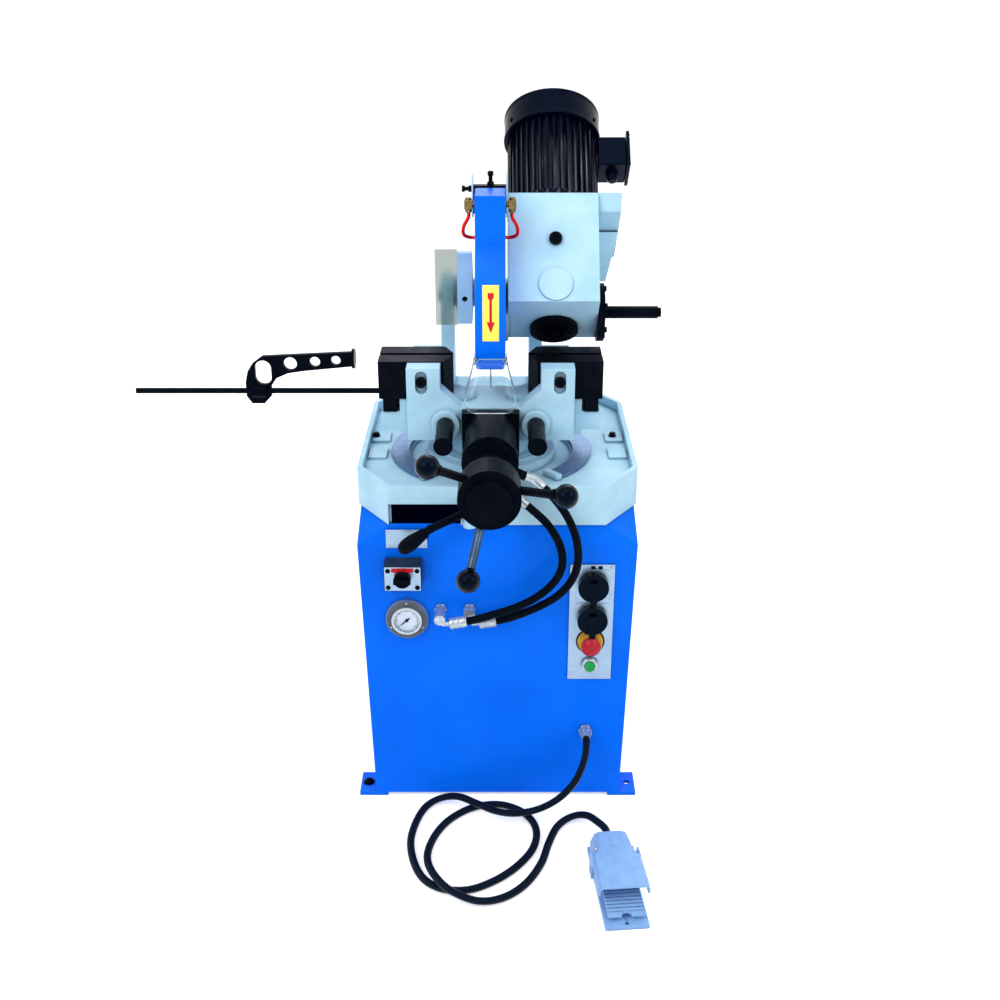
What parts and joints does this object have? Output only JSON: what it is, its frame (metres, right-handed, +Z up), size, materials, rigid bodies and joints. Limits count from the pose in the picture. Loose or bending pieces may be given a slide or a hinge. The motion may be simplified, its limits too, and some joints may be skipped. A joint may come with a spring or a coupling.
{
  "type": "cold saw",
  "caption": "Pedestal cold saw with a swivelling geared head, guarded circular blade, hydraulic double vise, stock stop, cabinet controls and a corded foot pedal.",
  "frame": {"origin": "on the floor, at the middle of the four floor bolt holes under the cabinet", "axes": "+X to the operator's right, +Y to the back, +Z up"},
  "size_m": [1.1063, 1.076, 1.4281],
  "materials": {
    "blue_paint": "semi-gloss",
    "guard_paint": "semi-gloss",
    "pale_casting": "semi-gloss",
    "black_paint": "satin",
    "machined_iron": "machined",
    "bright_steel": "ground",
    "plate_aluminium": "brushed",
    "black_plastic": "moulded",
    "grey_plastic": "moulded",
    "red_plastic": "gloss",
    "green_plastic": "gloss",
    "yellow_plastic": "satin",
    "white_dial": "matte",
    "clear_plastic": "clear",
    "brass": "satin",
    "red_tube": "gloss",
    "hose_rubber": "satin",
    "conduit": "ribbed",
    "pedal_paint": "hammered"
  },
  "bodies": {
    "base": {"cabinet": "blue_paint", "floor_plates": "blue_paint", "rear_panel": "blue_paint", "hydraulic_tank": "grey_plastic", "pump_motor": "black_paint", "tray": "pale_casting", "bearing_ways": "machined_iron", "vise_bed": "pale_casting", "rear_jaws": "black_paint", "guide_bars": "black_paint", "control_plate": "plate_aluminium", "estop_collar": "yellow_plastic", "switch_box": "grey_plastic", "gauge_case": "bright_steel", "gauge_dial": "white_dial", "hose_ports": "bright_steel", "vise_hoses": "hose_rubber", "cord_gland": "black_plastic", "pedal_cord": "conduit", "pedal_base": "pedal_paint", "pedal_hood": "pedal_paint"},
    "swivel_table": {"turntable": "machined_iron", "column": "pale_casting", "pivot_pin": "bright_steel"},
    "saw_head": {"gearbox": "pale_casting", "head_arm": "pale_casting", "oil_plug": "black_plastic", "worm_cap": "black_plastic", "motor_body": "black_paint", "fan_cowl": "black_paint", "terminal_box": "black_paint", "spindle_flange": "black_paint", "grip_bar": "black_paint", "blade_guard": "guard_paint", "visor": "clear_plastic", "rear_shield": "clear_plastic", "coolant_elbows": "brass", "coolant_tubes": "red_tube", "coolant_valve": "black_plastic"},
    "blade_spindle": {"blade": "bright_steel", "spindle": "bright_steel", "worm_wheel": "brass"},
    "motor_rotor": {"worm_shaft": "bright_steel"},
    "vise_slider": {"vise_carriage": "pale_casting", "front_jaws": "black_paint", "jaw_bolts": "black_paint", "clamp_cylinder": "black_paint"},
    "vise_wheel": {"lead_screw": "bright_steel", "hand_wheel": "black_paint", "wheel_knobs": "black_plastic"},
    "lock_handle": {"lock_lever": "black_paint", "lever_grip": "black_plastic"},
    "stop_shaft": {"stop_rod": "black_paint"},
    "stop_finger": {"stop_arm": "black_paint"},
    "pedal_treadle": {"treadle": "pedal_paint"},
    "estop_plunger": {"estop_button": "red_plastic"},
    "start_plunger": {"start_button": "green_plastic"},
    "upper_cam": {"upper_knob": "black_plastic"},
    "lower_cam": {"lower_knob": "black_plastic"},
    "main_cam": {"main_knob": "black_plastic"}
  },
  "joints": [
    {"name": "swivel", "type": "hinge", "parent": "base", "child": "swivel_table", "pos_m": [-0.014, -0.05, 0.727], "axis": [0, 0, 1], "range_deg": [-45, 45], "deforming": ["visor"]},
    {"name": "head_tilt", "type": "hinge", "parent": "swivel_table", "child": "saw_head", "pos_m": [-0.014, 0.235, 0.985], "axis": [-1, 0, 0], "range_deg": [0, 40]},
    {"name": "motor_spin", "type": "hinge", "parent": "saw_head", "child": "motor_rotor", "pos_m": [0.1173, 0.11166, 1.17345], "axis": [0, 0.7071, 0.7071], "continuous": true},
    {"name": "blade_spin", "type": "hinge", "parent": "saw_head", "child": "blade_spindle", "pos_m": [-0.014, 0.005, 1.003], "axis": [1, 0, 0], "continuous": true},
    {"name": "vise_slide", "type": "slide", "parent": "base", "child": "vise_slider", "axis": [0, -1, 0], "range_m": [0, 0.1], "deforming": ["vise_hoses"]},
    {"name": "wheel_turn", "type": "hinge", "parent": "vise_slider", "child": "vise_wheel", "pos_m": [-0.014, -0.46, 0.798], "axis": [0, -1, 0], "continuous": true},
    {"name": "lock_swing", "type": "hinge", "parent": "base", "child": "lock_handle", "pos_m": [-0.054, -0.315, 0.691], "axis": [0, 0, 1], "range_deg": [0, 35]},
    {"name": "stop_flip", "type": "hinge", "parent": "base", "child": "stop_shaft", "pos_m": [-0.4, -0.0225, 0.84], "axis": [1, 0, 0], "range_deg": [0, 100]},
    {"name": "stop_slide", "type": "slide", "parent": "stop_shaft", "child": "stop_finger", "axis": [-1, 0, 0], "range_m": [0, 0.15]},
    {"name": "treadle_press", "type": "hinge", "parent": "base", "child": "pedal_treadle", "pos_m": [0.23412, -0.55913, 0.02], "axis": [0.9962, 0.0872, 0], "range_deg": [0, 4], "stiffness_Nm_per_rad": 8, "springref_deg": -5.73},
    {"name": "estop_push", "type": "slide", "parent": "base", "child": "estop_plunger", "axis": [0, 1, 0], "range_m": [0, 0.005], "stiffness_N_per_m": 400, "springref_m": -0.002},
    {"name": "start_push", "type": "slide", "parent": "base", "child": "start_plunger", "axis": [0, 1, 0], "range_m": [0, 0.003], "stiffness_N_per_m": 400, "springref_m": -0.002},
    {"name": "upper_cam_turn", "type": "hinge", "parent": "base", "child": "upper_cam", "pos_m": [0.193, -0.31, 0.525], "axis": [0, -1, 0], "range_deg": [-45, 45]},
    {"name": "lower_cam_turn", "type": "hinge", "parent": "base", "child": "lower_cam", "pos_m": [0.193, -0.31, 0.449], "axis": [0, -1, 0], "range_deg": [-45, 45]},
    {"name": "main_cam_turn", "type": "hinge", "parent": "base", "child": "main_cam", "pos_m": [-0.188, -0.35, 0.56], "axis": [0, -1, 0], "range_deg": [0, 90]}
  ],
  "couplings": [
    {"joint": "wheel_turn", "follows": "vise_slide", "rad_per_m": 314.16},
    {"joint": "blade_spin", "follows": "motor_spin", "ratio": 0.033333}
  ]
}
